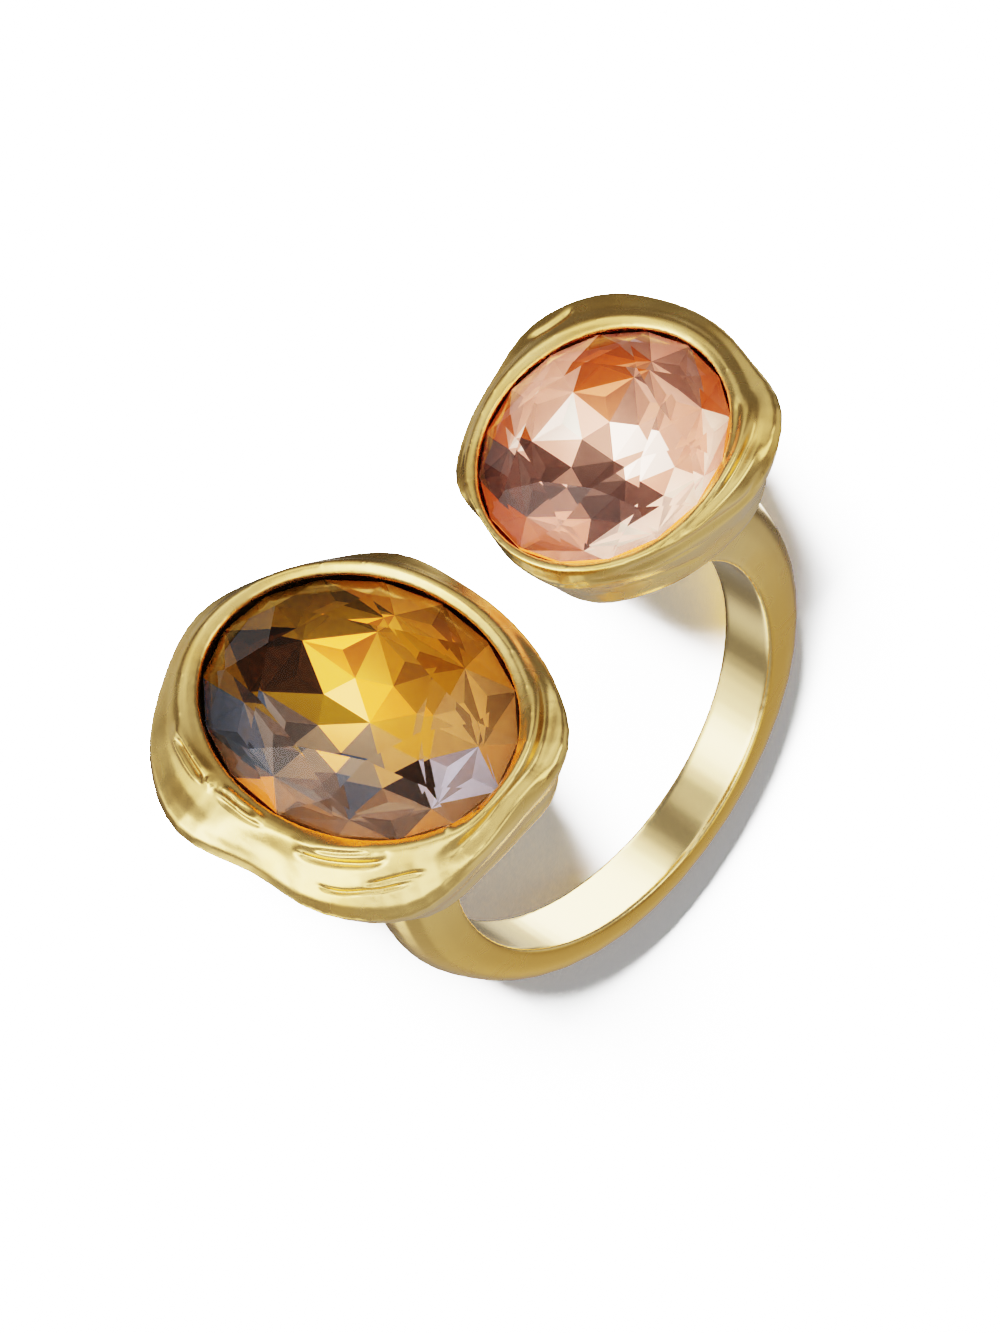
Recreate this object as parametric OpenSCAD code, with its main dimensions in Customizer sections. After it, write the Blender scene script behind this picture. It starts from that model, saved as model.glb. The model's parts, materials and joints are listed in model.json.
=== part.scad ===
// Adjustable open ring with a champagne oval and a rose round crystal, in millimetres.
// It lies on its side as it rests by itself, with both stones facing -Y.

/* [Finger] */
// Inside diameter of the band
finger_d = 17; // [16:0.5:18]

/* [Band] */
// Width of the band along the finger, at the back
band_w = 2.6; // [2.2:0.1:3.2]
// Thickness of the band at the back
band_t = 1.1; // [0.9:0.1:1.4]
// Height of the crown across the band's outer face
band_crown = 0.12; // [0:0.02:0.2]

/* [Champagne cup] */
// Length of the champagne stone along the finger
champagne_l = 14; // [13:0.5:15]
// Width of the champagne stone
champagne_w = 10; // [9:0.5:10.5]
// Distance from the finger's axis to the middle of the stone's girdle
champagne_reach = 14.5; // [14.2:0.1:15]
// Angle from the middle of the opening to the champagne stone
champagne_angle = -30; // [-32:1:-28]
// Lean of the champagne stone's face towards the rose cup
champagne_lean = -2; // [-5:1:5]
// Turn of the oval in its own plane
champagne_turn = 3; // [0:1:8]

/* [Rose cup] */
// Length of the rose stone along the finger
rose_l = 9.8; // [9:0.1:10.5]
// Width of the rose stone
rose_w = 10; // [9:0.1:10.5]
// Distance from the finger's axis to the middle of the stone's girdle
rose_reach = 13.7; // [13.5:0.1:14.2]
// Angle from the middle of the opening to the rose stone
rose_angle = 28; // [26:1:30]
// Lean of the rose stone's face away from the champagne cup
rose_lean = -3; // [-5:1:5]
// Turn of the stone in its own plane
rose_turn = 0; // [-10:1:10]

/* [Stones] */
// Height of the crown above the girdle
crown_h = 1.7; // [1.2:0.1:2]
// Depth of the pointed back below the girdle
pavilion_h = 3.1; // [2.6:0.1:3.2]
// Width of the table against the width of the stone
table_ratio = 0.56; // [0.5:0.02:0.62]
// Gap between a stone and its cup
stone_gap = 0.06; // [0.05:0.01:0.1]

/* [Rest] */
// Tilt that the cups give the ring as it lies on its side
rest_pitch = 15.6; // [0:0.1:25]
// Roll towards the smaller cup
rest_roll = 6.7; // [-5:0.1:15]
// Position of the ring's middle over the resting box
rest_shift = [-0.77, 2.55, 3.93]; // [-20:0.01:20]

/* [Hidden] */

finger_r = finger_d / 2;
gold = "#c8a75a";

// Half of a stone's girdle, and its rings of facets as parts of the stone's width
girdle_h = 0.12;
mains = 8;
star_r = 0.8;
lower_r = 0.35;

// Height of a cup below its stone's girdle, its floor and the ledge that carries the stone
cup_depth = 4.5;
floor_t = 0.8;
ledge_w = 0.6;
ledge_depth = girdle_h + ledge_w / (rose_l / 2) * pavilion_h + stone_gap;

// Rounding under a cup: distance inside the foot of its wall, and height above its lowest face
foot_round = [[1.3, 0.15], [0.4, 0.9]];

// Half width of a cup's flat bottom against the width of its stone
bottom_ratio = 0.25;

// Steps round a cup, in each span of its section, and between two rows of the band
cup_steps = 64;
span_steps = 3;
band_steps = 3;

// The finger hole is cut right through everything
bore_l = 40;
bore_margin = 0.3;

// Rows of the champagne cup, at equal angles round its rim. The first row looks along +X.
// lip_o and lip_z: the crest of the lip, outward of the stone and above its girdle
// dip_o and dip_z: the shallow valley behind the lip
// fold_o and fold_z: the widest fold of the wall
// low_o and low_z: the foot of the wall
champagne_rows = [
    [0.45, 0.65, 0.75, 0.40, 1.15, -0.30, 0.20, -2.40],
    [0.45, 0.65, 0.80, 0.40, 1.40, -0.30, 0.30, -2.40],
    [0.40, 0.60, 0.65, 0.35, 0.95, -0.30, 0.20, -2.40],
    [0.40, 0.60, 0.65, 0.35, 1.00, -0.30, 0.20, -2.40],
    [0.50, 0.60, 0.90, 0.40, 1.50, -0.20, 0.40, -2.40],
    [0.60, 0.60, 1.10, 0.40, 1.75, -0.30, 0.80, -2.40],
    [0.80, 0.55, 1.50, 0.20, 2.55, -0.50, 1.30, -2.40],
    [0.80, 0.50, 1.70, 0.10, 2.90, -0.60, 1.70, -2.50],
    [0.70, 0.45, 1.30, 0.00, 2.15, -1.00, 1.30, -2.60],
    [0.60, 0.45, 1.30, -0.10, 2.55, -1.20, 1.60, -2.70],
    [0.60, 0.45, 1.30, -0.20, 2.30, -1.50, 1.60, -2.90],
    [0.60, 0.45, 0.95, -0.10, 1.30, -1.10, 0.40, -2.60],
    [0.60, 0.45, 0.85, 0.00, 1.05, -0.80, 0.10, -2.40],
    [0.60, 0.50, 1.10, 0.10, 1.75, -0.50, 0.60, -2.50],
    [0.60, 0.60, 1.00, 0.20, 1.45, -0.30, 0.50, -2.40],
    [0.50, 0.65, 0.85, 0.40, 1.20, -0.30, 0.30, -2.40],
];

// Rows of the rose cup, with the same columns
rose_rows = [
    [0.45, 0.40, 0.85, 0.15, 1.40, -0.30, 0.30, -2.40],
    [0.45, 0.40, 0.90, 0.20, 1.60, -0.30, 0.30, -2.40],
    [0.50, 0.45, 1.10, 0.20, 2.05, -0.30, 0.50, -2.40],
    [0.50, 0.45, 1.05, 0.20, 1.95, -0.30, 0.40, -2.40],
    [0.45, 0.40, 0.75, 0.20, 1.15, -0.30, 0.10, -2.40],
    [0.40, 0.35, 0.65, 0.15, 1.00, -0.30, 0.00, -2.40],
    [0.45, 0.35, 0.65, 0.15, 0.95, -0.20, 0.00, -2.40],
    [0.30, 0.30, 0.35, 0.10, 0.30, -0.30, -0.10, -2.30],
    [0.35, 0.30, 0.45, 0.00, 0.50, -0.50, 0.00, -2.30],
    [0.40, 0.30, 0.55, -0.10, 0.60, -0.80, 0.10, -2.30],
    [0.40, 0.30, 0.55, -0.10, 0.45, -0.80, -0.10, -2.20],
    [0.45, 0.30, 0.60, -0.10, 0.45, -0.80, -0.10, -2.30],
    [0.45, 0.35, 0.70, 0.00, 0.65, -0.80, 0.10, -2.40],
    [0.50, 0.40, 0.85, 0.10, 1.45, -0.70, 0.50, -2.60],
    [0.50, 0.40, 1.00, 0.15, 1.90, -0.40, 0.60, -2.50],
    [0.45, 0.40, 0.85, 0.15, 1.35, -0.20, 0.40, -2.40],
];

// Half of the band's section, from its side to the middle of its outer face:
// part of the width, part of the thickness and part of the crown
band_profile = [
    [0.5, 0.5, 0],
    [0.46, 0.78, 0],
    [0.34, 0.95, 0],
    [0.16, 1, 0.8],
    [0, 1, 1],
];

// Rows of the band from the rose cup round the back to the champagne cup:
// angle from the middle of the opening, extra thickness and extra width
band_rows = [
    [20, -0.3, 0.4],
    [36, 0.9, 1.2],
    [52, 2.1, 1.6],
    [66, 1.7, 0.9],
    [80, 1.3, 0.3],
    [96, 1.1, 0],
    [118, 0.75, 0],
    [144, 0.35, 0],
    [172, 0.2, 0],
    [200, 0.4, 0],
    [228, 0.5, 0],
    [248, 0.65, 0],
    [264, 1.05, 0],
    [278, 1.3, 0.1],
    [292, 1.7, 0.5],
    [306, 2.2, 1.4],
    [322, 1.8, 1.4],
    [338, 0, 0.6],
];

function cubic(a, b, c, d, t) =
    0.5 * (2 * b + (c - a) * t + (2 * a - 5 * b + 4 * c - d) * t * t + (3 * b - a - 3 * c + d) * t * t * t);

function wrap(i, n) = ((i % n) + n) % n;

// A row of a closed table at any angle, smooth between the table's own rows
function row_at(rows, angle) =
    let (n = len(rows), u = angle / 360 * n, i = floor(u))
    [for (k = [0 : len(rows[0]) - 1])
        cubic(rows[wrap(i - 1, n)][k], rows[wrap(i, n)][k], rows[wrap(i + 1, n)][k],
              rows[wrap(i + 2, n)][k], u - i)];

// A smooth open line through the points, with some steps in each span
function smooth_line(p, steps) =
    let (n = len(p))
    [for (i = [0 : n - 2], s = [0 : (i == n - 2 ? steps : steps - 1)])
        cubic(p[max(i - 1, 0)], p[i], p[i + 1], p[min(i + 2, n - 1)], s / steps)];

// Triangles of a closed grid of rings, with a fan at each end
function grid_faces(rings, n) =
    concat(
        [for (i = [0 : rings - 2], j = [0 : n - 1]) [i * n + j, (i + 1) * n + j, i * n + (j + 1) % n]],
        [for (i = [0 : rings - 2], j = [0 : n - 1])
            [i * n + (j + 1) % n, (i + 1) * n + j, (i + 1) * n + (j + 1) % n]],
        [for (j = [0 : n - 1]) [rings * n, j, (j + 1) % n]],
        [for (j = [0 : n - 1]) [rings * n + 1, (rings - 1) * n + (j + 1) % n, (rings - 1) * n + j]]
    );

// Outline of an oval at an eccentric angle, moved outward by o
function oval_point(w, l, angle, o) =
    let (x = cos(angle) / w, y = sin(angle) / l, s = norm([x, y]))
    [w / 2 * cos(angle) + o * x / s, l / 2 * sin(angle) + o * y / s];

// Section of a cup's wall, from the foot outside over the lip to the seat inside
function cup_section(r, w) =
    let (bottom = -w * bottom_ratio)
    concat(
        smooth_line([
            [bottom, -cup_depth],
            [r[6] - foot_round[0][0], -cup_depth + foot_round[0][1]],
            [r[6] - foot_round[1][0], -cup_depth + foot_round[1][1]],
            [r[6], r[7]],
            [r[4], r[5]],
            [r[2], r[3]],
            [r[0], r[1]],
            [stone_gap, (r[1] + girdle_h) / 2],
        ], span_steps),
        [[stone_gap, -girdle_h - stone_gap], [-ledge_w, -ledge_depth], [bottom, -cup_depth + floor_t]]
    );

module cup(rows, w, l) {
    rings = [for (a = [0 : 360 / cup_steps : 359.9])
        let (s = cup_section(row_at(rows, a), w))
        [for (p = s) concat(oval_point(w, l, a, p[0]), p[1])]];
    n = len(rings[0]);
    points = concat(
        [for (i = [0 : n - 1], j = [0 : cup_steps - 1]) rings[j][i]],
        [[0, 0, -cup_depth], [0, 0, -cup_depth + floor_t]]
    );
    polyhedron(points, grid_faces(n, cup_steps));
}

// Cross section of the band, across the finger and away from it
function band_section(t, w) =
    let (half = concat(
        [[w / 2, -bore_margin]],
        [for (p = band_profile) [p[0] * w, p[1] * t + p[2] * band_crown]]
    ))
    concat(
        [for (p = half) [-p[0], p[1]]],
        [for (i = [len(half) - 2 : -1 : 0]) half[i]]
    );

// Middle of a ring of points
function total(p, i = 0) = i == len(p) - 1 ? p[i] : p[i] + total(p, i + 1);
function middle(p) = total(p) / len(p);

module band() {
    rows = smooth_line(band_rows, band_steps);
    rings = [for (r = rows)
        [for (p = band_section(band_t + r[1], band_w + r[2]))
            let (reach = finger_r + p[1])
            [reach * sin(r[0]), -p[0], reach * cos(r[0])]]];
    points = concat(
        [for (ring = rings, p = ring) p],
        [middle(rings[0]), middle(rings[len(rings) - 1])]
    );
    polyhedron(points, grid_faces(len(rings), len(rings[0])));
}

// A ring of points on a unit circle stretched to the oval, at one height
function stone_ring(w, l, n, r, z, start) =
    [for (i = [0 : n - 1]) let (a = start + 360 / n * i) [w / 2 * r * cos(a), l / 2 * r * sin(a), z]];

// A brilliant-cut oval: table, star, kite and upper facets, a thin girdle, lower facets and mains
module brilliant(w, l, start) {
    half = 180 / mains;
    star_z = girdle_h + (crown_h - girdle_h) * (1 - star_r * cos(half)) / (1 - table_ratio);
    lower_z = -girdle_h - (pavilion_h - girdle_h) * (1 - lower_r * cos(half));
    points = concat(
        stone_ring(w, l, mains, table_ratio, crown_h, start),
        stone_ring(w, l, mains, star_r, star_z, start + half),
        stone_ring(w, l, 2 * mains, 1, girdle_h, start),
        stone_ring(w, l, 2 * mains, 1, -girdle_h, start),
        stone_ring(w, l, mains, lower_r, lower_z, start + half),
        [[0, 0, -pavilion_h]]
    );
    star = mains;
    upper = 2 * mains;
    under = 4 * mains;
    low = 6 * mains;
    culet = 7 * mains;
    m = mains - 1;
    faces = concat(
        [[for (i = [m : -1 : 0]) i]],
        [for (i = [0 : m]) [i, (i + 1) % mains, star + i]],
        [for (i = [0 : m]) [i, star + i, upper + 2 * i, star + wrap(i - 1, mains)]],
        [for (i = [0 : m]) [star + i, upper + 2 * i + 1, upper + 2 * i]],
        [for (i = [0 : m]) [star + i, upper + (2 * i + 2) % upper, upper + 2 * i + 1]],
        [for (k = [0 : upper - 1]) [upper + k, upper + (k + 1) % upper, under + (k + 1) % upper, under + k]],
        [for (i = [0 : m]) [under + 2 * i, under + 2 * i + 1, low + i]],
        [for (i = [0 : m]) [under + 2 * i + 1, under + (2 * i + 2) % upper, low + i]],
        [for (i = [0 : m]) [under + 2 * i, low + i, culet, low + wrap(i - 1, mains)]]
    );
    polyhedron(points, faces);
}

// Puts a cup or its stone at its place on the ring, face outwards
module placed(reach, angle, lean, turn) {
    translate([reach * sin(angle), 0, reach * cos(angle)])
        rotate([0, lean, 0])
            rotate([0, 0, turn])
                children();
}

// Lays the ring on its side, tilted by its cups
module at_rest() {
    translate(rest_shift)
        rotate([-rest_pitch, -rest_roll, 0])
            rotate([-90, 0, 180])
                children();
}

module ring_body() {
    color(gold)
        at_rest()
            difference() {
                union() {
                    band();
                    placed(champagne_reach, champagne_angle, champagne_lean, champagne_turn)
                        cup(champagne_rows, champagne_w, champagne_l);
                    placed(rose_reach, rose_angle, rose_lean, rose_turn)
                        cup(rose_rows, rose_w, rose_l);
                }
                rotate([90, 0, 0])
                    cylinder(h = bore_l, r = finger_r, center = true, $fn = 128);
            }
}

module champagne_stone() {
    color("#d9a441")
        at_rest()
            placed(champagne_reach, champagne_angle, champagne_lean, champagne_turn)
                brilliant(champagne_w, champagne_l, 0);
}

module rose_stone() {
    color("#e6b8a6")
        at_rest()
            placed(rose_reach, rose_angle, rose_lean, rose_turn)
                brilliant(rose_w, rose_l, 0);
}

ring_body();
champagne_stone();
rose_stone();
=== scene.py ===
import json
import math

import bmesh
import bpy
from mathutils import Matrix, Vector
from mathutils.bvhtree import BVHTree


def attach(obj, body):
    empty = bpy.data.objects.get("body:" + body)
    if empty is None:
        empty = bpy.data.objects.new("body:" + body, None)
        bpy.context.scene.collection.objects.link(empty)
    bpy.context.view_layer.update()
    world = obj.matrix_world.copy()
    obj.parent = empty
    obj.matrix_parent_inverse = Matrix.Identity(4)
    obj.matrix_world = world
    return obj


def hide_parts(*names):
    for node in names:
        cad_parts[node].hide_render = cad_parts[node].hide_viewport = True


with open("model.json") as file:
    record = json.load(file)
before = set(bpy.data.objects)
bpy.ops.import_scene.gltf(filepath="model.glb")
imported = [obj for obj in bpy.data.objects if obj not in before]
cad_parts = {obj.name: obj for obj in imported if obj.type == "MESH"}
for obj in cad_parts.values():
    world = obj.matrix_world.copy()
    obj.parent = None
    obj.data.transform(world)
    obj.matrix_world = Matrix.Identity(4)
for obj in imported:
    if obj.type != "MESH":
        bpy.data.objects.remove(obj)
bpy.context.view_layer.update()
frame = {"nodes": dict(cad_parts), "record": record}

# Sizes are in millimetres in the ring's own frame, and MM turns them into the row's metres.
# The ring's own frame stands the ring up: X runs from the champagne cup to the rose cup, -Y is the side that
# faces up as the ring lies, and Z points out through the opening, the way both stones face.
MM = 0.001
hole = next(m for m in frame["record"]["mounts"] if m["name"] == "finger_hole")
FINGER_AXIS = Vector(hole["axis"]).normalized()
ACROSS = FINGER_AXIS.cross(Vector((0, 1, 0))).normalized()
OUTWARD = FINGER_AXIS.cross(ACROSS)
RING = Matrix.Translation(hole["pos_m"]) @ Matrix((ACROSS, -FINGER_AXIS, OUTWARD)).transposed().to_4x4()
RING_MM = RING @ Matrix.Scale(MM, 4)
FINGER_R = hole["dims"]["r_mm"]

# The two cups: length and width of the stone, place of its girdle's middle, lean and turn of its face
CHAMPAGNE = dict(length=14.0, width=10.0, reach=14.5, angle=-30.0, lean=-2.0, turn=3.0)
ROSE = dict(length=9.8, width=10.0, reach=13.7, angle=28.0, lean=-3.0, turn=0.0)

# Cut of both stones: the heights of the crown, the back and half the girdle, how far out the table and the
# star facets end as parts of the stone, and how many main facets go round
CROWN_H, PAVILION_H, GIRDLE_H = 1.7, 3.1, 0.12
TABLE_RATIO, STAR_RATIO = 0.56, 0.8
MAINS = 8
# The steepest rise of a girdle face's normal, and the angle in radians up to which faces count as one facet
GIRDLE_RISE = 0.05
ONE_FACET = 0.01


def cup_matrix(cup):
    """From a cup's own frame, with the girdle's middle at its origin and its face along Z, to the ring's."""
    angle = math.radians(cup["angle"])
    middle = Vector((cup["reach"] * math.sin(angle), 0, cup["reach"] * math.cos(angle)))
    lean = Matrix.Rotation(math.radians(cup["lean"]), 4, "Y")
    turn = Matrix.Rotation(math.radians(cup["turn"]), 4, "Z")
    return Matrix.Translation(middle) @ lean @ turn


def linked(name, mesh):
    """A new object in the scene that shows the mesh."""
    piece = bpy.data.objects.new(name, mesh)
    bpy.context.scene.collection.objects.link(piece)
    return piece


def evaluated_mesh(piece):
    """The piece's mesh with its modifiers applied, and the modifiers removed."""
    bpy.context.view_layer.update()
    graph = bpy.context.evaluated_depsgraph_get()
    mesh = bpy.data.meshes.new_from_object(piece.evaluated_get(graph))
    piece.modifiers.clear()
    old = piece.data
    piece.data = mesh
    bpy.data.meshes.remove(old)
    return mesh


# Node helpers
def new_node(tree, kind, **settings):
    node = tree.nodes.new(kind)
    for key, value in settings.items():
        setattr(node, key, value)
    return node


def join(tree, *sources):
    """Links the outputs to the inputs named in (from_socket, to_socket) pairs."""
    for source, target in sources:
        tree.links.new(source, target)


def geometry_tree(name, **inputs):
    """A Geometry Nodes tree with the named inputs beside its geometry; gives its start and end as well."""
    tree = bpy.data.node_groups.new(name, "GeometryNodeTree")
    for label, kind in (("Geometry", "Geometry"), *inputs.items()):
        label = label.replace("_", " ")
        tree.interface.new_socket(name=label, in_out="INPUT", socket_type="NodeSocket" + kind)
    tree.interface.new_socket(name="Geometry", in_out="OUTPUT", socket_type="NodeSocketGeometry")
    return tree, new_node(tree, "NodeGroupInput"), new_node(tree, "NodeGroupOutput")


def end_tree(tree, geometry, metal, end):
    """Ends a Geometry Nodes tree: the geometry is made real and gets its metal."""
    realize = new_node(tree, "GeometryNodeRealizeInstances")
    paint = new_node(tree, "GeometryNodeSetMaterial")
    join(tree, (geometry, realize.inputs["Geometry"]), (metal, paint.inputs["Material"]),
         (realize.outputs["Geometry"], paint.inputs["Geometry"]),
         (paint.outputs["Geometry"], end.inputs["Geometry"]))


def repeat_zone(tree, geometry, times):
    """Begins a zone that works on the geometry as many times as the socket says."""
    first = new_node(tree, "GeometryNodeRepeatInput")
    last = new_node(tree, "GeometryNodeRepeatOutput")
    first.pair_with_output(last)
    join(tree, (geometry, first.inputs["Geometry"]), (times, first.inputs["Iterations"]))
    return first, last


def new_material(name, values):
    """A material whose main shader has the values given for its inputs; gives its tree and shader as well."""
    material = bpy.data.materials.new(name)
    material.use_nodes = True
    shader = material.node_tree.nodes["Principled BSDF"]
    for label, value in values.items():
        shader.inputs[label].default_value = (*value, 1) if isinstance(value, tuple) else value
    return material, material.node_tree, shader


def set_inputs(modifier, values):
    """Sets a Geometry Nodes modifier's inputs by their sockets' identifiers."""
    items = modifier.node_group.interface.items_tree
    ids = {item.name: item.identifier for item in items if item.in_out == "INPUT"}
    for name, value in values.items():
        modifier[ids[name]] = value


# The camera stands where the photograph's did, seen from the ring
FRAME_W, FRAME_H = 1000, 1333
RING_PIXEL = (590.8, 738.5)
PIXELS_PER_MM = 26.13
CAMERA_DISTANCE = 300
VIEW_FROM = Vector((-0.2163, -0.549, 0.8073)).normalized()
VIEW_UP = Vector((0.7305, 0.4577, 0.507)).normalized()
VIEW_RIGHT = VIEW_UP.cross(VIEW_FROM)
SENSOR = 36


def make_camera():
    focal = PIXELS_PER_MM * CAMERA_DISTANCE
    data = bpy.data.cameras.new("camera")
    data.lens = focal / FRAME_H * SENSOR
    data.sensor_width = SENSOR
    data.clip_start, data.clip_end = 0.01, 10
    camera = bpy.data.objects.new("camera", data)
    bpy.context.scene.collection.objects.link(camera)
    aim_left = math.atan((RING_PIXEL[0] - FRAME_W / 2) / focal)
    aim_up = math.atan((RING_PIXEL[1] - FRAME_H / 2) / focal)
    stand = Matrix((VIEW_RIGHT, VIEW_UP, VIEW_FROM)).transposed().to_4x4()
    stand.translation = VIEW_FROM * CAMERA_DISTANCE * MM
    turn = Matrix.Rotation(aim_left, 4, "Y") @ Matrix.Rotation(aim_up, 4, "X")
    camera.matrix_world = RING @ stand @ turn
    bpy.context.scene.camera = camera


def view_direction(right, up, towards):
    """A direction in the row frame from parts along the picture's right, its up and towards the camera."""
    return (RING.to_3x3() @ (VIEW_RIGHT * right + VIEW_UP * up + VIEW_FROM * towards)).normalized()


make_camera()


# The cast metal: its solid's points are merged and it is turned into one skin of cells of this size
SAME_POINT = 0.0005
VOXEL = 0.075
# Each smoothing pass shrinks the skin a little and swells it back. The edge passes wear the band rounder,
# more and more between these heights as it leaves the cups.
SMOOTHING = {"Passes": 60, "Shrink": 0.62, "Swell": -0.66, "Edge Passes": 12}
WEAR_HEIGHTS = (6.5, 4.5)
# What the finished skin is thinned to
SKIN_TRIANGLES = 194000

# Folds and creases left from the wax model. Each is a soft line on a cup: half its width and its rise in mm
# (below zero where it sinks), then its points as degrees round the stone, mm outward and mm above the girdle.
CHAMPAGNE_FOLDS = {
    "left crease, inner lip": (0.22, 0.10, [
        (130, 1.08, 0.45), (138, 0.93, 0.51), (147, 0.82, 0.52), (157, 0.7, 0.49)]),
    "left crease": (0.1, -0.18, [
        (136, 1.12, 0.44), (143, 1.0, 0.48), (150, 0.95, 0.48), (156, 0.97, 0.46)]),
    "left crease, outer lip": (0.1, 0.06, [
        (133, 1.3, 0.33), (141, 1.24, 0.37), (149, 1.2, 0.39), (157, 1.1, 0.4)]),
    "left hollow": (0.6, -0.06, [
        (131, 1.6, 0.2), (142, 1.72, 0.12), (152, 1.55, 0.2), (161, 1.25, 0.33), (171, 1.02, 0.4),
        (181, 0.95, 0.4)]),
    "knot": (0.2, 0.08, [
        (155, 0.86, 0.48), (157, 0.85, 0.48), (159, 0.83, 0.48)]),
    "lower left crease, inner lip": (0.1, 0.09, [
        (160, 0.55, 0.48), (166, 0.5, 0.45), (173, 0.5, 0.44), (181, 0.55, 0.44)]),
    "lower left crease": (0.075, -0.12, [
        (160, 0.68, 0.49), (165, 0.63, 0.47), (171, 0.61, 0.46), (178, 0.61, 0.44)]),
    "lower left crease, outer lip": (0.1, 0.09, [
        (160, 0.82, 0.48), (167, 0.74, 0.47), (174, 0.71, 0.46), (181, 0.67, 0.44)]),
    "lower left crease, foot": (0.09, -0.07, [
        (162, 0.95, 0.45), (168, 0.89, 0.44), (175, 0.87, 0.42), (182, 0.8, 0.43)]),
    "middle crease, inner lip": (0.16, 0.08, [
        (190, 0.7, 0.42), (197, 0.7, 0.4), (205, 0.62, 0.42), (213, 0.57, 0.44), (219, 0.53, 0.44)]),
    "middle crease, fine line": (0.06, -0.07, [
        (198, 0.82, 0.34), (206, 0.75, 0.37), (212, 0.7, 0.4), (218, 0.62, 0.42)]),
    "middle crease, outer lip": (0.09, 0.05, [
        (198, 0.92, 0.25), (207, 0.87, 0.27), (215, 0.78, 0.33), (219, 0.73, 0.37)]),
    "middle crease": (0.13, -0.17, [
        (191, 1.0, 0.21), (196, 1.07, 0.12), (202, 1.08, 0.1), (209, 1.04, 0.12), (216, 1.0, 0.15),
        (220.5, 0.92, 0.22), (222, 0.75, 0.34), (221, 0.55, 0.44)]),
    "low crease": (0.08, -0.14, [
        (200, 1.78, -0.4), (204, 1.87, -0.5), (209, 1.86, -0.53), (215, 1.74, -0.52), (221, 1.66, -0.52),
        (230, 1.5, -0.47)]),
    "low crease, branch": (0.09, -0.13, [
        (214, 1.6, -0.4), (220, 1.46, -0.33), (226, 1.35, -0.28), (234, 1.28, -0.32)]),
    "left bulge": (0.65, 0.08, [
        (158, 2.05, -0.1), (164, 1.8, -0.02), (172, 1.4, 0.06), (181, 1.1, 0.25)]),
    "dip": (0.65, -0.09, [
        (176, 0.8, 0.42), (182, 1.0, 0.28), (187, 1.3, -0.05), (191, 1.75, -0.4), (194, 2.3, -1.1)]),
    "low bulge": (0.8, 0.07, [
        (198, 1.5, -0.3), (206, 1.6, -0.45), (216, 1.6, -0.5), (228, 1.5, -0.5)]),
    "right lip": (0.22, 0.09, [
        (322, 0.95, 0.28), (316, 0.9, 0.33), (307, 0.8, 0.43), (298, 0.7, 0.47), (289, 0.6, 0.47),
        (278, 0.42, 0.44), (267, 0.38, 0.42), (257, 0.57, 0.42), (246, 0.74, 0.3), (238, 0.76, 0.3)]),
    "right valley": (0.3, -0.2, [
        (318, 1.3, 0.1), (311, 1.2, 0.12), (302, 1.14, 0.14), (292, 1.06, 0.18), (281, 0.92, 0.2),
        (268, 0.74, 0.3), (256, 0.83, 0.06), (246, 1.0, -0.18), (240, 1.15, -0.3), (236, 1.45, -0.6)]),
    "right ridge": (0.3, 0.14, [
        (286, 1.3, 0.0), (280, 1.1, 0.03), (273, 0.98, 0.0), (264, 0.96, -0.12), (254, 1.08, -0.38),
        (246, 1.25, -0.6), (240, 1.55, -0.95)]),
    "upper nick": (0.1, 0.06, [
        (256, 0.24, 0.37), (258.5, 0.23, 0.37)]),
    "lower nick": (0.13, 0.07, [
        (243, 0.33, 0.42), (246, 0.31, 0.42)]),
}
ROSE_FOLDS = {
    "right ridge": (0.25, 0.1, [
        (325, 0.95, 0.15), (318, 0.88, 0.22), (311, 0.77, 0.28), (298, 0.6, 0.36), (283, 0.49, 0.37),
        (268, 0.44, 0.33)]),
    "inner valley": (0.16, -0.07, [
        (322, 0.4, 0.38), (312, 0.42, 0.39), (300, 0.4, 0.39), (288, 0.3, 0.38)]),
    "middle valley": (0.2, -0.15, [
        (312, 1.24, 0.06), (306, 1.0, 0.12), (299, 0.86, 0.16), (288, 0.74, 0.2), (274, 0.6, 0.26),
        (259, 0.55, 0.22), (243, 0.55, 0.15)]),
    "outer ridge": (0.24, 0.12, [
        (303, 1.25, -0.05), (298, 1.15, 0.0), (291, 1.0, -0.03), (278, 0.8, 0.0), (265, 0.66, 0.1),
        (252, 0.54, 0.15)]),
    "outer valley": (0.32, -0.14, [
        (302, 1.55, -0.3), (292, 1.4, -0.54), (283, 1.06, -0.84), (270, 0.72, -0.7), (254, 0.62, -0.35),
        (237, 0.56, -0.25), (217, 0.56, -0.3)]),
    "foot line": (0.12, -0.06, [
        (211, 0.56, -0.2), (225, 0.53, -0.42), (237, 0.42, -0.85), (252, 0.36, -1.15), (266, 0.35, -1.5)]),
    "second foot line": (0.14, -0.05, [
        (218, 0.12, -1.8), (234, 0.05, -1.9), (249, -0.05, -2.3), (264, -0.07, -2.7)]),
    "lip line": (0.12, -0.05, [
        (193, 0.55, -0.75), (205, 0.6, -0.62), (216, 0.58, -0.4)]),
    "upper crease": (0.16, -0.12, [
        (73, 1.23, 0.13), (68, 1.19, 0.16), (63, 1.18, 0.18), (57, 1.34, 0.14), (52, 1.6, 0.08)]),
}
# A fold's line is cut into steps this long. Its rise fades in over a part of its length at each end, and over
# more of it where half its width is more than a broad fold's least.
FOLD_STEP = 0.06
FOLD_TAPER = 0.22
BROAD_TAPER = 0.45
BROAD_FOLD = 0.4


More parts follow.
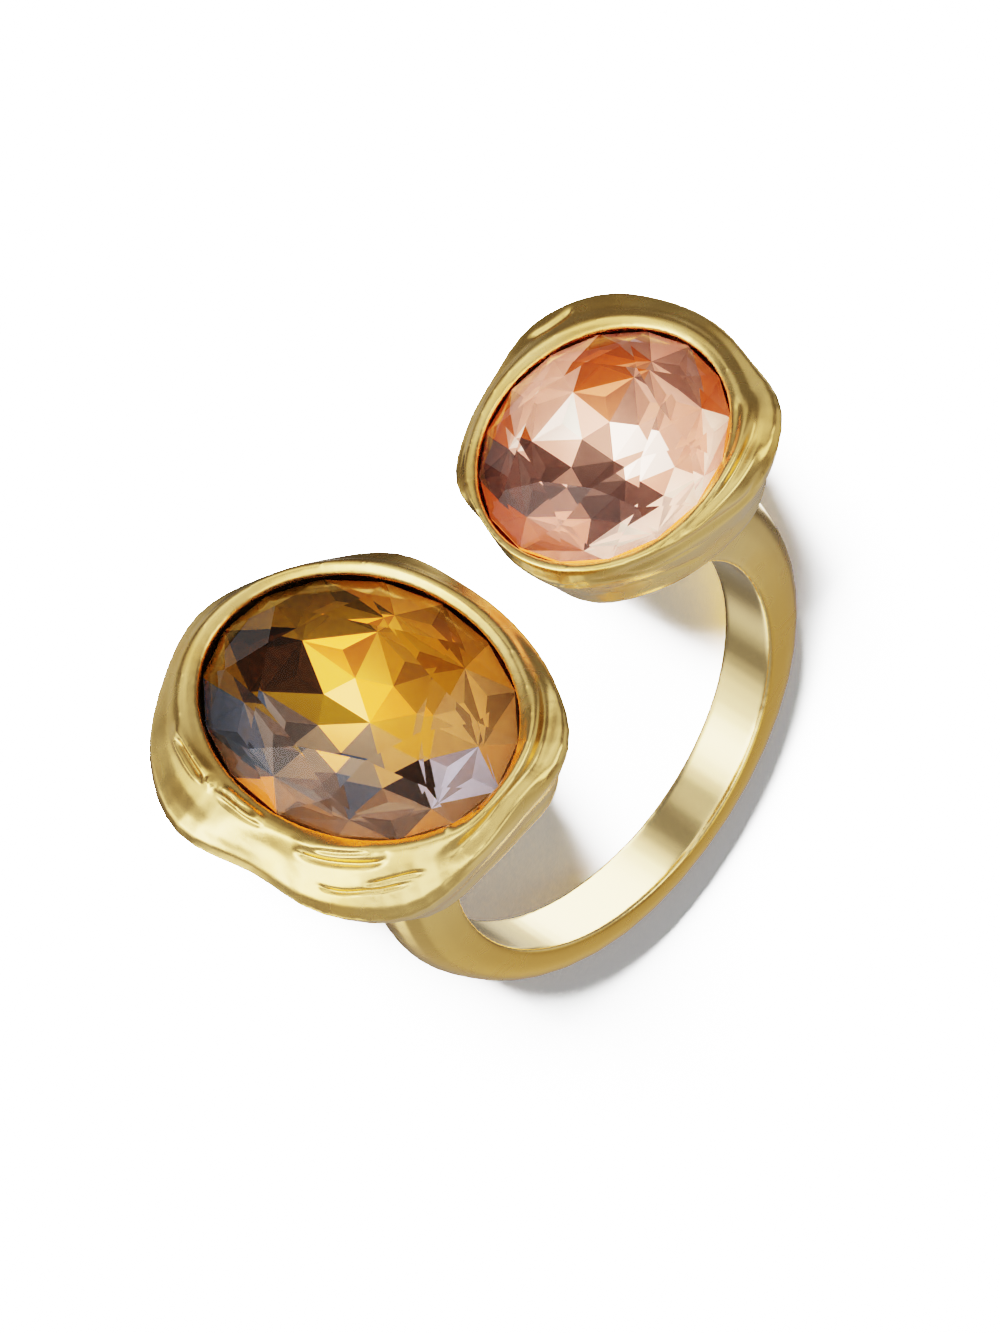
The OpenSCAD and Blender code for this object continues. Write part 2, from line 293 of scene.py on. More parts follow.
def on_cup(cup, point):
    """A point given as degrees round the stone's edge, mm outward from it and mm above the girdle."""
    angle, outward, height = math.radians(point[0]), point[1], point[2]
    a, b = cup["width"] / 2, cup["length"] / 2
    edge = Vector((a * math.cos(angle), b * math.sin(angle), 0))
    away = Vector((math.cos(angle) / a, math.sin(angle) / b, 0)).normalized()
    return cup_matrix(cup) @ (edge + away * outward + Vector((0, 0, height)))


def smooth_path(points, step):
    """A Catmull-Rom line through the points, in even steps."""
    pts = [2 * points[0] - points[1], *points, 2 * points[-1] - points[-2]]
    fine = []
    for p0, p1, p2, p3 in zip(pts, pts[1:], pts[2:], pts[3:]):
        count = max(2, math.ceil((p2 - p1).length / step))
        for k in range(count):
            t = k / count
            fine.append(0.5 * (2 * p1 + (p2 - p0) * t + (2 * p0 - 5 * p1 + 4 * p2 - p3) * t ** 2
                               + (3 * p1 - p0 - 3 * p2 + p3) * t ** 3))
    return [*fine, points[-1]]


def fold_lines():
    """Loose lines with each fold's number, width and rise on their points, and how many folds there are."""
    points, edges, numbers, widths, rises = [], [], [], [], []
    folds = [(CHAMPAGNE, f) for f in CHAMPAGNE_FOLDS.values()] + [(ROSE, f) for f in ROSE_FOLDS.values()]
    for number, (cup, (width, rise, path)) in enumerate(folds):
        line = smooth_path([on_cup(cup, p) for p in path], FOLD_STEP)
        start = len(points)
        edges += [(start + k, start + k + 1) for k in range(len(line) - 1)]
        taper = BROAD_TAPER if width > BROAD_FOLD else FOLD_TAPER
        for k, p in enumerate(line):
            t = min(1, min(k, len(line) - 1 - k) / len(line) / taper)
            points.append(p)
            numbers.append(number)
            widths.append(width)
            rises.append(rise * t * t * (3 - 2 * t))
    mesh = bpy.data.meshes.new("fold_lines")
    mesh.from_pydata(points, edges, [])
    mesh.attributes.new("fold", "INT", "POINT").data.foreach_set("value", numbers)
    mesh.attributes.new("width", "FLOAT", "POINT").data.foreach_set("value", widths)
    mesh.attributes.new("rise", "FLOAT", "POINT").data.foreach_set("value", rises)
    return linked("fold_lines", mesh), len(folds)


def named(tree, name, kind="FLOAT"):
    node = new_node(tree, "GeometryNodeInputNamedAttribute", data_type=kind)
    node.inputs["Name"].default_value = name
    return node.outputs["Attribute"]


def math_node(tree, operation, *values):
    node = new_node(tree, "ShaderNodeMath", operation=operation)
    for socket, value in zip(node.inputs, values):
        if isinstance(value, (int, float)):
            socket.default_value = value
        else:
            join(tree, (value, socket))
    return node.outputs[0]


def folds_tree():
    """Raises or sinks the skin along each fold's line, by its width and rise, on that side of the metal."""
    tree, start, end = geometry_tree("wax_folds", Lines="Object", Folds="Int", Metal="Material")
    skin_in = start.outputs["Geometry"]
    # the lines are laid on the skin, and each of their points takes the way that the skin faces there
    lines = new_node(tree, "GeometryNodeObjectInfo", transform_space="ORIGINAL")
    snap = new_node(tree, "GeometryNodeProximity", target_element="FACES")
    settle = new_node(tree, "GeometryNodeSetPosition")
    normal = new_node(tree, "GeometryNodeInputNormal")
    under = new_node(tree, "GeometryNodeSampleNearestSurface", data_type="FLOAT_VECTOR")
    facing = new_node(tree, "GeometryNodeStoreNamedAttribute", data_type="FLOAT_VECTOR", domain="POINT")
    facing.inputs["Name"].default_value = "facing"
    join(tree, (start.outputs["Lines"], lines.inputs["Object"]), (skin_in, snap.inputs["Geometry"]),
         (lines.outputs["Geometry"], settle.inputs["Geometry"]),
         (snap.outputs["Position"], settle.inputs["Position"]),
         (skin_in, under.inputs["Mesh"]), (normal.outputs[0], under.inputs["Value"]),
         (settle.outputs["Geometry"], facing.inputs["Geometry"]),
         (under.outputs["Value"], facing.inputs["Value"]))
    # one fold after another adds its part to the skin's lift
    flat = new_node(tree, "GeometryNodeStoreNamedAttribute", data_type="FLOAT", domain="POINT")
    flat.inputs["Name"].default_value = "lift"
    join(tree, (skin_in, flat.inputs["Geometry"]))
    repeat_in, repeat_out = repeat_zone(tree, flat.outputs["Geometry"], start.outputs["Folds"])
    this = new_node(tree, "FunctionNodeCompare", data_type="INT", operation="EQUAL")
    fold = new_node(tree, "GeometryNodeSeparateGeometry", domain="POINT")
    join(tree, (named(tree, "fold", "INT"), this.inputs[2]), (repeat_in.outputs["Iteration"], this.inputs[3]),
         (facing.outputs["Geometry"], fold.inputs["Geometry"]), (this.outputs[0], fold.inputs["Selection"]))
    line = fold.outputs["Selection"]
    far = new_node(tree, "GeometryNodeProximity", target_element="EDGES")
    nearest = new_node(tree, "GeometryNodeSampleNearest", domain="POINT")
    join(tree, (line, far.inputs["Geometry"]), (line, nearest.inputs["Geometry"]))
    read = {}
    for name, kind in (("width", "FLOAT"), ("rise", "FLOAT"), ("facing", "FLOAT_VECTOR")):
        node = new_node(tree, "GeometryNodeSampleIndex", data_type=kind, domain="POINT")
        join(tree, (line, node.inputs["Geometry"]), (named(tree, name, kind), node.inputs["Value"]),
             (nearest.outputs["Index"], node.inputs["Index"]))
        read[name] = node.outputs["Value"]
    same_side = new_node(tree, "ShaderNodeVectorMath", operation="DOT_PRODUCT")
    join(tree, (normal.outputs[0], same_side.inputs[0]), (read["facing"], same_side.inputs[1]))
    side = new_node(tree, "ShaderNodeClamp")
    join(tree, (same_side.outputs["Value"], side.inputs["Value"]))
    ratio = math_node(tree, "DIVIDE", far.outputs["Distance"], read["width"])
    square = math_node(tree, "MULTIPLY", ratio, ratio)
    fall = math_node(tree, "EXPONENT", math_node(tree, "MULTIPLY", square, -1.0))
    rise = math_node(tree, "MULTIPLY", math_node(tree, "MULTIPLY", fall, read["rise"]), side.outputs[0])
    add = new_node(tree, "GeometryNodeStoreNamedAttribute", data_type="FLOAT", domain="POINT")
    add.inputs["Name"].default_value = "lift"
    join(tree, (repeat_in.outputs["Geometry"], add.inputs["Geometry"]),
         (math_node(tree, "ADD", named(tree, "lift"), rise), add.inputs["Value"]),
         (add.outputs["Geometry"], repeat_out.inputs["Geometry"]))
    along = new_node(tree, "ShaderNodeVectorMath", operation="SCALE")
    move = new_node(tree, "GeometryNodeSetPosition")
    join(tree, (normal.outputs[0], along.inputs[0]), (named(tree, "lift"), along.inputs["Scale"]),
         (repeat_out.outputs["Geometry"], move.inputs["Geometry"]), (along.outputs[0], move.inputs["Offset"]))
    end_tree(tree, move.outputs["Geometry"], start.outputs["Metal"], end)
    return tree


def skin_tree():
    """Smooths the cast skin without shrinking it, pass by pass, and wears the band's edges rounder."""
    tree, start, end = geometry_tree("cast_skin", Passes="Int", Shrink="Float", Swell="Float",
                                     Edge_Passes="Int", Metal="Material")
    repeat_in, repeat_out = repeat_zone(tree, start.outputs["Geometry"], start.outputs["Passes"])
    geometry = repeat_in.outputs["Geometry"]
    for amount in ("Shrink", "Swell"):
        position = new_node(tree, "GeometryNodeInputPosition")
        blur = new_node(tree, "GeometryNodeBlurAttribute", data_type="FLOAT_VECTOR")
        away = new_node(tree, "ShaderNodeVectorMath", operation="SUBTRACT")
        step = new_node(tree, "ShaderNodeVectorMath", operation="SCALE")
        move = new_node(tree, "GeometryNodeSetPosition")
        join(tree, (position.outputs[0], blur.inputs["Value"]),
             (blur.outputs[0], away.inputs[0]), (position.outputs[0], away.inputs[1]),
             (away.outputs[0], step.inputs[0]), (start.outputs[amount], step.inputs["Scale"]),
             (step.outputs[0], move.inputs["Offset"]), (geometry, move.inputs["Geometry"]))
        geometry = move.outputs["Geometry"]
    join(tree, (geometry, repeat_out.inputs["Geometry"]))
    wear_in, wear_out = repeat_zone(tree, repeat_out.outputs["Geometry"], start.outputs["Edge Passes"])
    position = new_node(tree, "GeometryNodeInputPosition")
    blur = new_node(tree, "GeometryNodeBlurAttribute", data_type="FLOAT_VECTOR")
    height = new_node(tree, "ShaderNodeSeparateXYZ")
    mix = new_node(tree, "ShaderNodeMix", data_type="VECTOR")
    wear = new_node(tree, "GeometryNodeSetPosition")
    join(tree, (position.outputs[0], blur.inputs["Value"]), (position.outputs[0], height.inputs[0]))
    join(tree, (map_range(tree, height.outputs["Z"], *WEAR_HEIGHTS, 0, 1), mix.inputs["Factor"]),
         (position.outputs[0], mix.inputs[4]), (blur.outputs[0], mix.inputs[5]),
         (mix.outputs[1], wear.inputs["Position"]), (wear_in.outputs["Geometry"], wear.inputs["Geometry"]),
         (wear.outputs["Geometry"], wear_out.inputs["Geometry"]))
    shade = new_node(tree, "GeometryNodeSetShadeSmooth")
    join(tree, (wear_out.outputs["Geometry"], shade.inputs["Geometry"]))
    end_tree(tree, shade.outputs["Geometry"], start.outputs["Metal"], end)
    return tree


def merged_copy(node, name):
    """A copy of a CAD node in the ring's own frame, in millimetres, with its loose triangles joined."""
    mesh = frame["nodes"][node].data.copy()
    mesh.transform(RING_MM.inverted())
    bm = bmesh.new()
    bm.from_mesh(mesh)
    bmesh.ops.remove_doubles(bm, verts=bm.verts, dist=SAME_POINT)
    bm.to_mesh(mesh)
    bm.free()
    mesh.materials.clear()
    return linked(name, mesh)


def ring_coordinates(tree):
    """Object coordinates turned into the ring's own frame, in millimetres."""
    place = new_node(tree, "ShaderNodeTexCoord")
    frame_turn = new_node(tree, "ShaderNodeMapping")
    back = RING_MM.inverted()
    frame_turn.inputs["Location"].default_value = back.translation
    frame_turn.inputs["Rotation"].default_value = back.to_euler()
    frame_turn.inputs["Scale"].default_value = (1 / MM, 1 / MM, 1 / MM)
    join(tree, (place.outputs["Object"], frame_turn.inputs["Vector"]))
    return frame_turn.outputs["Vector"]


def noise(tree, vector, scale):
    node = new_node(tree, "ShaderNodeTexNoise")
    node.inputs["Scale"].default_value = scale
    join(tree, (vector, node.inputs["Vector"]))
    return node.outputs[0]


def map_range(tree, value, start, end, low, high):
    """Turns start to end into low to high, smoothly."""
    node = new_node(tree, "ShaderNodeMapRange", interpolation_type="SMOOTHSTEP")
    for name, number in (("From Min", start), ("From Max", end), ("To Min", low), ("To Max", high)):
        node.inputs[name].default_value = number
    join(tree, (value, node.inputs["Value"]))
    return node.outputs["Result"]


def blend_colour(tree, factor, first, second):
    """Mixes two colours; each is a constant or another node's output."""
    node = new_node(tree, "ShaderNodeMix", data_type="RGBA")
    join(tree, (factor, node.inputs["Factor"]))
    for socket, colour in ((node.inputs[6], first), (node.inputs[7], second)):
        if isinstance(colour, tuple):
            socket.default_value = (*colour, 1)
        else:
            join(tree, (colour, socket))
    return node.outputs[2]


def choose(tree, factor, first, second):
    """The first value where the factor is 0, the second where it is 1; each a number or a node's output."""
    node = new_node(tree, "ShaderNodeMix", data_type="FLOAT")
    join(tree, (factor, node.inputs["Factor"]))
    for socket, value in ((node.inputs[2], first), (node.inputs[3], second)):
        if isinstance(value, (int, float)):
            socket.default_value = value
        else:
            join(tree, (value, socket))
    return node.outputs[0]


GOLD = (0.77, 0.52, 0.205)
WARM_AND_PAINTED_SHADE_GOLD = (0.72, 0.41, 0.11)
POLISHED_GOLD = (0.82, 0.60, 0.29)
# The polish of the finger hole turns to satin between these distances from its wall
POLISH_ENDS = (0.02, 0.12)
POLISHED_ROUGHNESS = 0.2
SATIN_ROUGHNESS = (0.22, 0.29)
# The plating is warmer in patches at random. Lower down the band, between these heights and up to this share,
# the gold turns darker and warmer all over: painted shade and painted gold-on-gold reflection.
WARM_PATCHES = 0.5
PAINTED_SHADE_HEIGHTS = (6, -6)
PAINTED_SHADE_BAND = 0.95
# How fine the noise is for warm patches, rough patches, waves and grain, and the levels where patches fade in
WARM_NOISE, ROUGH_NOISE, WAVE_NOISE, GRAIN_NOISE = 0.35, 0.8, 0.9, 14
WARM_LEVELS = (0.35, 0.7)
ROUGH_LEVELS = (0.3, 0.7)
# Strength and depth in mm of the two bumps
WAVE_BUMP = (0.08, 0.02)
GRAIN_BUMP = (0.06, 0.004)


def satin_gold():
    """Plated gold: satin outside with fine grain and slight waves, polished in the finger hole, darker and
    warmer lower down the band as painted shade.
    """
    material, tree, shader = new_material("satin_gold", {"Metallic": 1})
    ring = ring_coordinates(tree)
    parts = new_node(tree, "ShaderNodeSeparateXYZ")
    flat = new_node(tree, "ShaderNodeCombineXYZ")
    radius = new_node(tree, "ShaderNodeVectorMath", operation="LENGTH")
    join(tree, (ring, parts.inputs[0]), (parts.outputs["X"], flat.inputs["X"]),
         (parts.outputs["Z"], flat.inputs["Y"]), (flat.outputs[0], radius.inputs[0]))
    outside = map_range(tree, radius.outputs["Value"], *(FINGER_R + end for end in POLISH_ENDS), 0, 1)
    patches = map_range(tree, noise(tree, ring, WARM_NOISE), *WARM_LEVELS, 0, 1)
    # painted shade and painted gold-on-gold reflection: the gold darkens and warms lower down the band
    low = map_range(tree, parts.outputs["Z"], *PAINTED_SHADE_HEIGHTS, 0, PAINTED_SHADE_BAND)
    warmth_and_painted_shade = math_node(tree, "MAXIMUM", math_node(tree, "MULTIPLY", patches, WARM_PATCHES), low)
    satin = blend_colour(tree, warmth_and_painted_shade, GOLD, WARM_AND_PAINTED_SHADE_GOLD)
    join(tree, (blend_colour(tree, outside, POLISHED_GOLD, satin), shader.inputs["Base Color"]))
    rough = map_range(tree, noise(tree, ring, ROUGH_NOISE), *ROUGH_LEVELS, *SATIN_ROUGHNESS)
    join(tree, (choose(tree, outside, POLISHED_ROUGHNESS, rough), shader.inputs["Roughness"]))
    surface = shader.inputs["Normal"]
    for scale, (strength, depth) in ((GRAIN_NOISE, GRAIN_BUMP), (WAVE_NOISE, WAVE_BUMP)):
        bump = new_node(tree, "ShaderNodeBump")
        bump.inputs["Strength"].default_value = strength
        bump.inputs["Distance"].default_value = depth * MM
        join(tree, (noise(tree, ring, scale), bump.inputs["Height"]), (bump.outputs["Normal"], surface))
        surface = bump.inputs["Normal"]
    return material


def make_skin():
    """The cast ring: the CAD solid as one smooth skin, with the wax folds and creases round both cups."""
    piece = merged_copy("ring_body", "cast_ring")
    remesh = piece.modifiers.new("voxels", "REMESH")
    remesh.mode = "VOXEL"
    remesh.voxel_size = VOXEL
    smooth = piece.modifiers.new("skin", "NODES")
    smooth.node_group = skin_tree()
    gold = satin_gold()
    set_inputs(smooth, {**SMOOTHING, "Metal": gold})
    lines, count = fold_lines()
    folds = piece.modifiers.new("folds", "NODES")
    folds.node_group = folds_tree()
    set_inputs(folds, {"Lines": lines, "Folds": count, "Metal": gold})
    mesh = evaluated_mesh(piece)
    bpy.data.objects.remove(lines)
    triangles = sum(len(f.vertices) - 2 for f in mesh.polygons)
    thin = piece.modifiers.new("thin", "DECIMATE")
    thin.ratio = min(1, SKIN_TRIANGLES / triangles)
    mesh = evaluated_mesh(piece)
    mesh.transform(RING_MM)
    mesh.shade_smooth()
    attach(piece, "root")
    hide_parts("ring_body")
    return piece


skin = make_skin()


# Colours of the foil behind the stones, seen through each back facet: the stones' own champagne and rose
# tints with painted reflections in them. The dark ones are painted shade for the dark studio mirrored in the
# facets, the cream and white ones painted highlights and glints, slate and lilac a painted bluish sheen.
BODY_TINTS_AND_PAINTED_REFLECTIONS = {
    "cream": (0.9, 0.36, 0.1), "honey": (0.75, 0.22, 0.03), "gold": (0.62, 0.24, 0.035),
    "amber": (0.34, 0.13, 0.012), "tan": (0.5, 0.24, 0.08), "olive": (0.13, 0.065, 0.006),
    "umber": (0.02, 0.008, 0.002), "dusk": (0.22, 0.15, 0.095), "taupe": (0.115, 0.088, 0.072),
    "slate": (0.055, 0.07, 0.1), "lilac": (0.44, 0.42, 0.5),
    "white": (1.0, 0.75, 0.61), "blush": (0.72, 0.36, 0.26), "rose": (0.31, 0.155, 0.11),
    "mauve": (0.1, 0.05, 0.036), "maroon": (0.06, 0.03, 0.022), "peach": (0.47, 0.16, 0.08),
    "orange": (0.38, 0.085, 0.02),
}

# Back facets: between the girdle and the culet lie two rings of points, given as how far out and how deep
# they are, as parts of the stone, and their turn. That makes five rows of facets, and each row has its tints
# from 0 degrees on round the stone, the stone's own tint with a painted reflection facet by facet.
BACK_RINGS = ((0.64, 0.54, 0.5), (0.32, 0.85, 0))
ROWS_OUT = (0.80, 0.62, 0.46, 0.30, 0.0)
# The facets of these rows lie half a step round from the others. They are split from their middle, which is
# sunk a little, into parts whose colours are made lighter or darker by these painted shades, painted glints
# and dark facet reflections. The first shade is also that of the facets left whole.
SPLIT_ROWS = (1, 2)
SPLIT_DEPTH = 0.07
SPLIT_PAINTED_SHADES = {"champagne_cut": (1.0, 0.55, 1.4, 0.8), "rose_cut": (1.0, 0.78, 1.2, 0.9)}
CHAMPAGNE_TINTS_AND_PAINTED_REFLECTIONS = (
    "gold amber olive olive olive slate taupe cream taupe dusk tan dusk tan tan gold amber",
    "amber olive umber slate dusk taupe lilac tan",
    "amber honey umber taupe taupe dusk lilac tan",
    "gold gold olive dusk slate umber tan amber",
    "honey cream olive cream dusk tan gold honey",
)
ROSE_TINTS_AND_PAINTED_REFLECTIONS = (
    "blush rose blush blush orange mauve orange orange blush blush white white white blush orange orange",
    "rose orange blush mauve peach white white white",
    "blush peach white mauve blush white white blush",
    "rose blush blush rose mauve white white blush",
    "white rose mauve maroon maroon mauve blush white",
)


def glass():
    """Clear crystal, whose outer faces mirror less than plain glass does."""
    looks = {"Base Color": (1, 0.985, 0.97), "Roughness": 0, "Transmission Weight": 1, "IOR": 1.54,
             "Specular Tint": (0.4, 0.4, 0.4)}
    return new_material("crystal_glass", looks)[0]


def foil():
    """The half-bright foil behind the crystal, in each facet's own colour: the stone's tint with its painted
    reflection.
    """
    looks = {"Metallic": 0.55, "Roughness": 0.3, "Specular IOR Level": 0}
    material, tree, shader = new_material("foil_back", looks)
    painted_tone = new_node(tree, "ShaderNodeAttribute", attribute_name="foil_tint")
    join(tree, (painted_tone.outputs["Color"], shader.inputs["Base Color"]))
    return material


def stone_ring(cup, count, ratio, height, start):
    """Points round the stone in even steps from the start in degrees, at a part of its width and length."""
    turns = [math.radians(start) + 2 * math.pi * k / count for k in range(count)]
    a, b = cup["width"] / 2 * ratio, cup["length"] / 2 * ratio
    return [(a * math.cos(turn), b * math.sin(turn), height) for turn in turns]


def row_and_painted_tone(middle, cup, rows):
    """The row that a back facet is in, and its tint with its painted reflection."""
    x, y = 2 * middle.x / cup["width"], 2 * middle.y / cup["length"]
    k = next(k for k, out in enumerate(ROWS_OUT) if math.hypot(x, y) > out)
    turn = math.degrees(math.atan2(y, x)) % 360 / 360 * len(rows[k]) + (0.5 if k in SPLIT_ROWS else 0)
    return k, BODY_TINTS_AND_PAINTED_REFLECTIONS[rows[k][int(turn) % len(rows[k])]]


def make_stone(name, node, cup, painted_tone_rows, painted_rim, clear, back):
    """A cut stone: clear in front, foiled on the back in its rows' tints with painted reflections, and on the
    girdle in the painted rim colour given for the stone.
    """
    half = 180 / MAINS
    cosine = math.cos(math.radians(half))
    star_z = GIRDLE_H + (CROWN_H - GIRDLE_H) * (1 - STAR_RATIO * cosine) / (1 - TABLE_RATIO)
    points = stone_ring(cup, MAINS, TABLE_RATIO, CROWN_H, 0)
    points += stone_ring(cup, MAINS, STAR_RATIO, star_z, half)
    points += stone_ring(cup, 2 * MAINS, 1, GIRDLE_H, 0)
    points += stone_ring(cup, 2 * MAINS, 1, -GIRDLE_H, 0)
    points.append((0, 0, -PAVILION_H))
    for ratio, depth, phase in BACK_RINGS:
        points += stone_ring(cup, MAINS, ratio, -GIRDLE_H - depth * (PAVILION_H - GIRDLE_H), phase * 2 * half)
    bm = bmesh.new()
    for p in points:
        bm.verts.new(p)
    bmesh.ops.convex_hull(bm, input=bm.verts)
    bmesh.ops.dissolve_limit(bm, angle_limit=ONE_FACET, verts=bm.verts, edges=bm.edges)
    bm.normal_update()
    names = [row.split() for row in painted_tone_rows]
    layer = bm.faces.layers.float_color.new("foil_tint")
    mesh = bpy.data.meshes.new(name)
    mesh.materials.append(clear)
    mesh.materials.append(back)
    for f in list(bm.faces):
        f.smooth = False
        f[layer] = (1, 1, 1, 1)
        # girdle faces get the painted rim colour given for the stone
        if abs(f.normal.z) < GIRDLE_RISE:
            f.material_index = 1
            f[layer] = (*BODY_TINTS_AND_PAINTED_REFLECTIONS[painted_rim], 1)
        elif f.normal.z < 0:
            row, painted_tone = row_and_painted_tone(f.calc_center_median(), cup, names)
            parts = [f]
            if row in SPLIT_ROWS:
                parts = bmesh.ops.poke(bm, faces=[f], offset=-SPLIT_DEPTH)["faces"]
            # each part's colour is its tint with painted reflection, times a painted shade
            for part, shade in zip(parts, SPLIT_PAINTED_SHADES[name]):
                part.smooth = False
                part.material_index = 1
                part[layer] = (*(min(1, c * shade) for c in painted_tone), 1)
    bm.to_mesh(mesh)
    bm.free()
    mesh.transform(RING_MM @ cup_matrix(cup))
    piece = linked(name, mesh)
    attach(piece, "root")
    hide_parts(node)
    return piece


crystal, backing = glass(), foil()
# The champagne stone's girdle is painted umber, a painted shadow line, and the rose stone's painted orange, a
# painted reflection.
stones = [
    make_stone("champagne_cut", "champagne_stone", CHAMPAGNE, CHAMPAGNE_TINTS_AND_PAINTED_REFLECTIONS, "umber",
               crystal, backing),
    make_stone("rose_cut", "rose_stone", ROSE, ROSE_TINTS_AND_PAINTED_REFLECTIONS, "orange", crystal, backing),
]

# How far the metal stays clear of a stone's back, and how far from it the metal is looked at
SEAT_GAP = 0.07
SEAT_REACH = 1.0


def clear_seats():
    """Sinks the hidden seats behind the stones, so that the metal stays clear of the stones' backs."""
    for stone in stones:
        mesh = stone.data
        tree = BVHTree.FromPolygons([v.co for v in mesh.vertices], [tuple(f.vertices) for f in mesh.polygons])
        for v in skin.data.vertices:
            near, normal, face, away = tree.find_nearest(v.co, SEAT_REACH * MM)
            if face is None or mesh.polygons[face].material_index == 0:
                continue
            if (v.co - near).dot(normal) < 0 or away < SEAT_GAP * MM:
                v.co = near + normal * SEAT_GAP * MM
        skin.data.update()


clear_seats()


# Floor, key light, card and studio
CORNERS = ((-1, -1), (1, -1), (1, 1), (-1, 1))
FLOOR_HALF = 2000
FLOOR_GREY = (0.9, 0.9, 0.9)
FLOOR_ROUGHNESS = 0.8


def flat_piece(name, corners):
    """A flat face between four corners in mm."""
    mesh = bpy.data.meshes.new(name)
    mesh.from_pydata([corner * MM for corner in corners], [], [(0, 1, 2, 3)])
    return linked(name, mesh)


def make_floor():
    """A pale matt floor, which the metal and the stones don't mirror: the studio has its bounce instead."""
    floor = flat_piece("floor", [Vector((x, y, 0)) * FLOOR_HALF for x, y in CORNERS])
    material = new_material("floor", {"Base Color": FLOOR_GREY, "Roughness": FLOOR_ROUGHNESS})[0]
    floor.data.materials.append(material)
    floor.visible_glossy = floor.visible_transmission = False


# The key light: where it stands in the picture (right, up, towards the camera), how far from the middle of
# the finger hole and how wide it is in mm, and its power in watts
KEY_FROM = (-0.28, 0.3, 0.91)
KEY_DISTANCE = 400
KEY_SIZE = 150
KEY_POWER = 127


def make_key_light():
    """A broad soft light for the floor and the metal's own shade. What the metal mirrors is the studio's."""
    data = bpy.data.lights.new("key_light", "AREA")
    data.size = KEY_SIZE * MM
    data.energy = KEY_POWER
    light = bpy.data.objects.new("key_light", data)
    bpy.context.scene.collection.objects.link(light)
    direction = view_direction(*KEY_FROM)
    place = Vector(hole["pos_m"]) + direction * KEY_DISTANCE * MM
    light.matrix_world = Matrix.Translation(place) @ direction.to_track_quat("Z", "Y").to_matrix().to_4x4()
    light.visible_glossy = light.visible_transmission = False


make_floor()
make_key_light()


# A card below the floor that only the metal mirrors. Its bright middle and dark ends give the polished wall
# of the finger hole its tones. Its middle and half its width and height are in the row frame, in mm. Its
# light fades between two distances from its middle, along its width.
CARD_AT = Vector((-9.16, 1.81, -6.76))
CARD_FACES = Vector((0.698, 0.572, 0.431)).normalized()
CARD_HALF = (19.5, 8.0)
CARD_FADE = (4.5, 12.0)
CARD_GLOW = (5.0, 0.12)


def make_hole_card():
    across = CARD_FACES.cross(Vector((0, 0, 1))).normalized()
    up = across.cross(CARD_FACES)
    corners = [CARD_AT + across * CARD_HALF[0] * x + up * CARD_HALF[1] * y for x, y in CORNERS]
    card = flat_piece("hole_card", corners)
    material, tree, shader = new_material("hole_card", {})
    material.cycles.emission_sampling = "NONE"
    tree.nodes.remove(shader)
    glow = new_node(tree, "ShaderNodeEmission")
    place = new_node(tree, "ShaderNodeTexCoord")
    along = new_node(tree, "ShaderNodeVectorMath", operation="DOT_PRODUCT")
    along.inputs[1].default_value = across / MM
    offset = math_node(tree, "SUBTRACT", along.outputs["Value"], across.dot(CARD_AT))
    out = math_node(tree, "ABSOLUTE", offset)
    join(tree, (place.outputs["Object"], along.inputs[0]),
         (map_range(tree, out, *CARD_FADE, *CARD_GLOW), glow.inputs["Strength"]),
         (glow.outputs[0], tree.nodes["Material Output"].inputs["Surface"]))
    card.data.materials.append(material)
    card.visible_camera = card.visible_diffuse = card.visible_transmission = card.visible_shadow = False


make_hole_card()


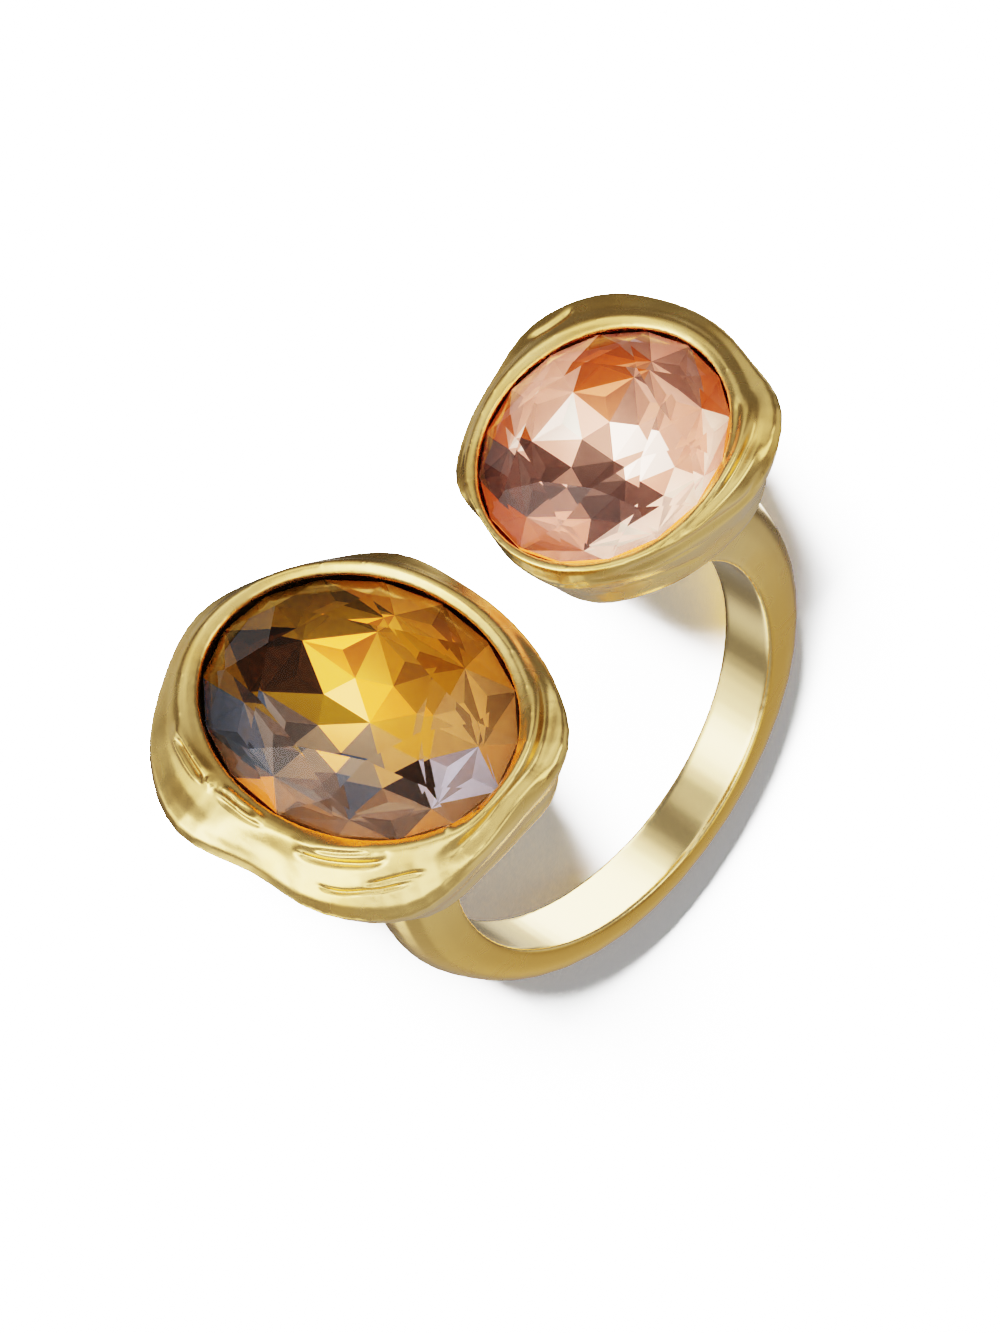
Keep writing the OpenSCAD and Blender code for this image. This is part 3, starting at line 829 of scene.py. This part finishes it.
# The studio that the metal mirrors: even pale walls with soft glows and a dark card, each by where it stands
# in the picture (right, up, towards the camera), its strength and the degrees to its full and its faded edge
WALLS = 0.18
GLOWS = {
    "left box": ((-0.86, -0.03, 0.50), 4.2, 6, 26),
    "far left": ((-0.98, -0.05, 0.05), 1.4, 8, 30),
    "back left": ((-0.72, 0.34, -0.60), 0.4, 8, 28),
    "front left strip": ((-0.58, -0.36, 0.73), 1.9, 4, 24),
    "front strip": ((-0.05, -0.57, 0.81), 2.2, 4, 24),
    "lower right strip": ((0.62, -0.60, 0.48), 1.2, 4, 24),
    "upper left box": ((-0.60, 0.52, 0.61), 1.4, 4, 22),
    "upper front": ((-0.1, 0.60, 0.79), 0.9, 6, 28),
    "front": ((-0.15, 0.0, 0.99), 0.7, 8, 32),
    "top": ((-0.33, 0.85, 0.41), 0.45, 6, 28),
    "overhead": ((0.26, 0.65, -0.71), 0.8, 6, 25),
    "front right": ((0.60, 0.22, 0.77), 2.2, 6, 26),
    "right edge": ((0.93, 0.25, 0.0), 0.5, 8, 34),
    "side box": ((0.77, -0.50, -0.40), 0.3, 6, 36),
    "bounce from below": ((0.0, -0.9, 0.2), 0.22, 10, 80),
    "floor at the left": ((-0.5, -0.74, -0.42), 1.7, 5, 24),
    "floor behind": ((0.2, -0.5, -0.84), 0.3, 8, 45),
    "dark card behind": ((-0.3, -0.12, -0.95), -0.12, 10, 38),
}
# Light that goes through the stones comes from one broad glow round the key light instead. It rises from one
# strength to the other between two cosines of the angle to the key light.
INSIDE_GLOW = (1.0, 5.5)
INSIDE_EDGE = (0.1, 0.9)
# What lights the floor, and what the camera sees past it
PLAIN_GLOW = 0.36


def cosine_to(tree, place, direction):
    """The cosine between where the studio is seen and a direction in the picture."""
    node = new_node(tree, "ShaderNodeVectorMath", operation="DOT_PRODUCT")
    node.inputs[1].default_value = view_direction(*direction)
    join(tree, (place.outputs["Generated"], node.inputs[0]))
    return node.outputs["Value"]


def make_studio():
    world = bpy.data.worlds.new("studio")
    bpy.context.scene.world = world
    world.use_nodes = True
    tree = world.node_tree
    tree.nodes["Background"].inputs["Color"].default_value = (1, 1, 1, 1)
    place = new_node(tree, "ShaderNodeTexCoord")
    glow = WALLS
    for direction, strength, full, faded in GLOWS.values():
        full_edge, faded_edge = (math.cos(math.radians(edge)) for edge in (full, faded))
        spot = map_range(tree, cosine_to(tree, place, direction), faded_edge, full_edge, 0, strength)
        glow = math_node(tree, "ADD", spot, glow)
    rays = new_node(tree, "ShaderNodeLightPath")
    inside = map_range(tree, cosine_to(tree, place, KEY_FROM), *INSIDE_EDGE, *INSIDE_GLOW)
    mirrored = choose(tree, rays.outputs["Is Transmission Ray"], glow, inside)
    plain = math_node(tree, "MAXIMUM", rays.outputs["Is Diffuse Ray"], rays.outputs["Is Camera Ray"])
    join(tree, (choose(tree, plain, mirrored, PLAIN_GLOW), tree.nodes["Background"].inputs["Strength"]))


make_studio()
bpy.context.scene.view_settings.view_transform = "Filmic"
bpy.context.scene.view_settings.look = "High Contrast"
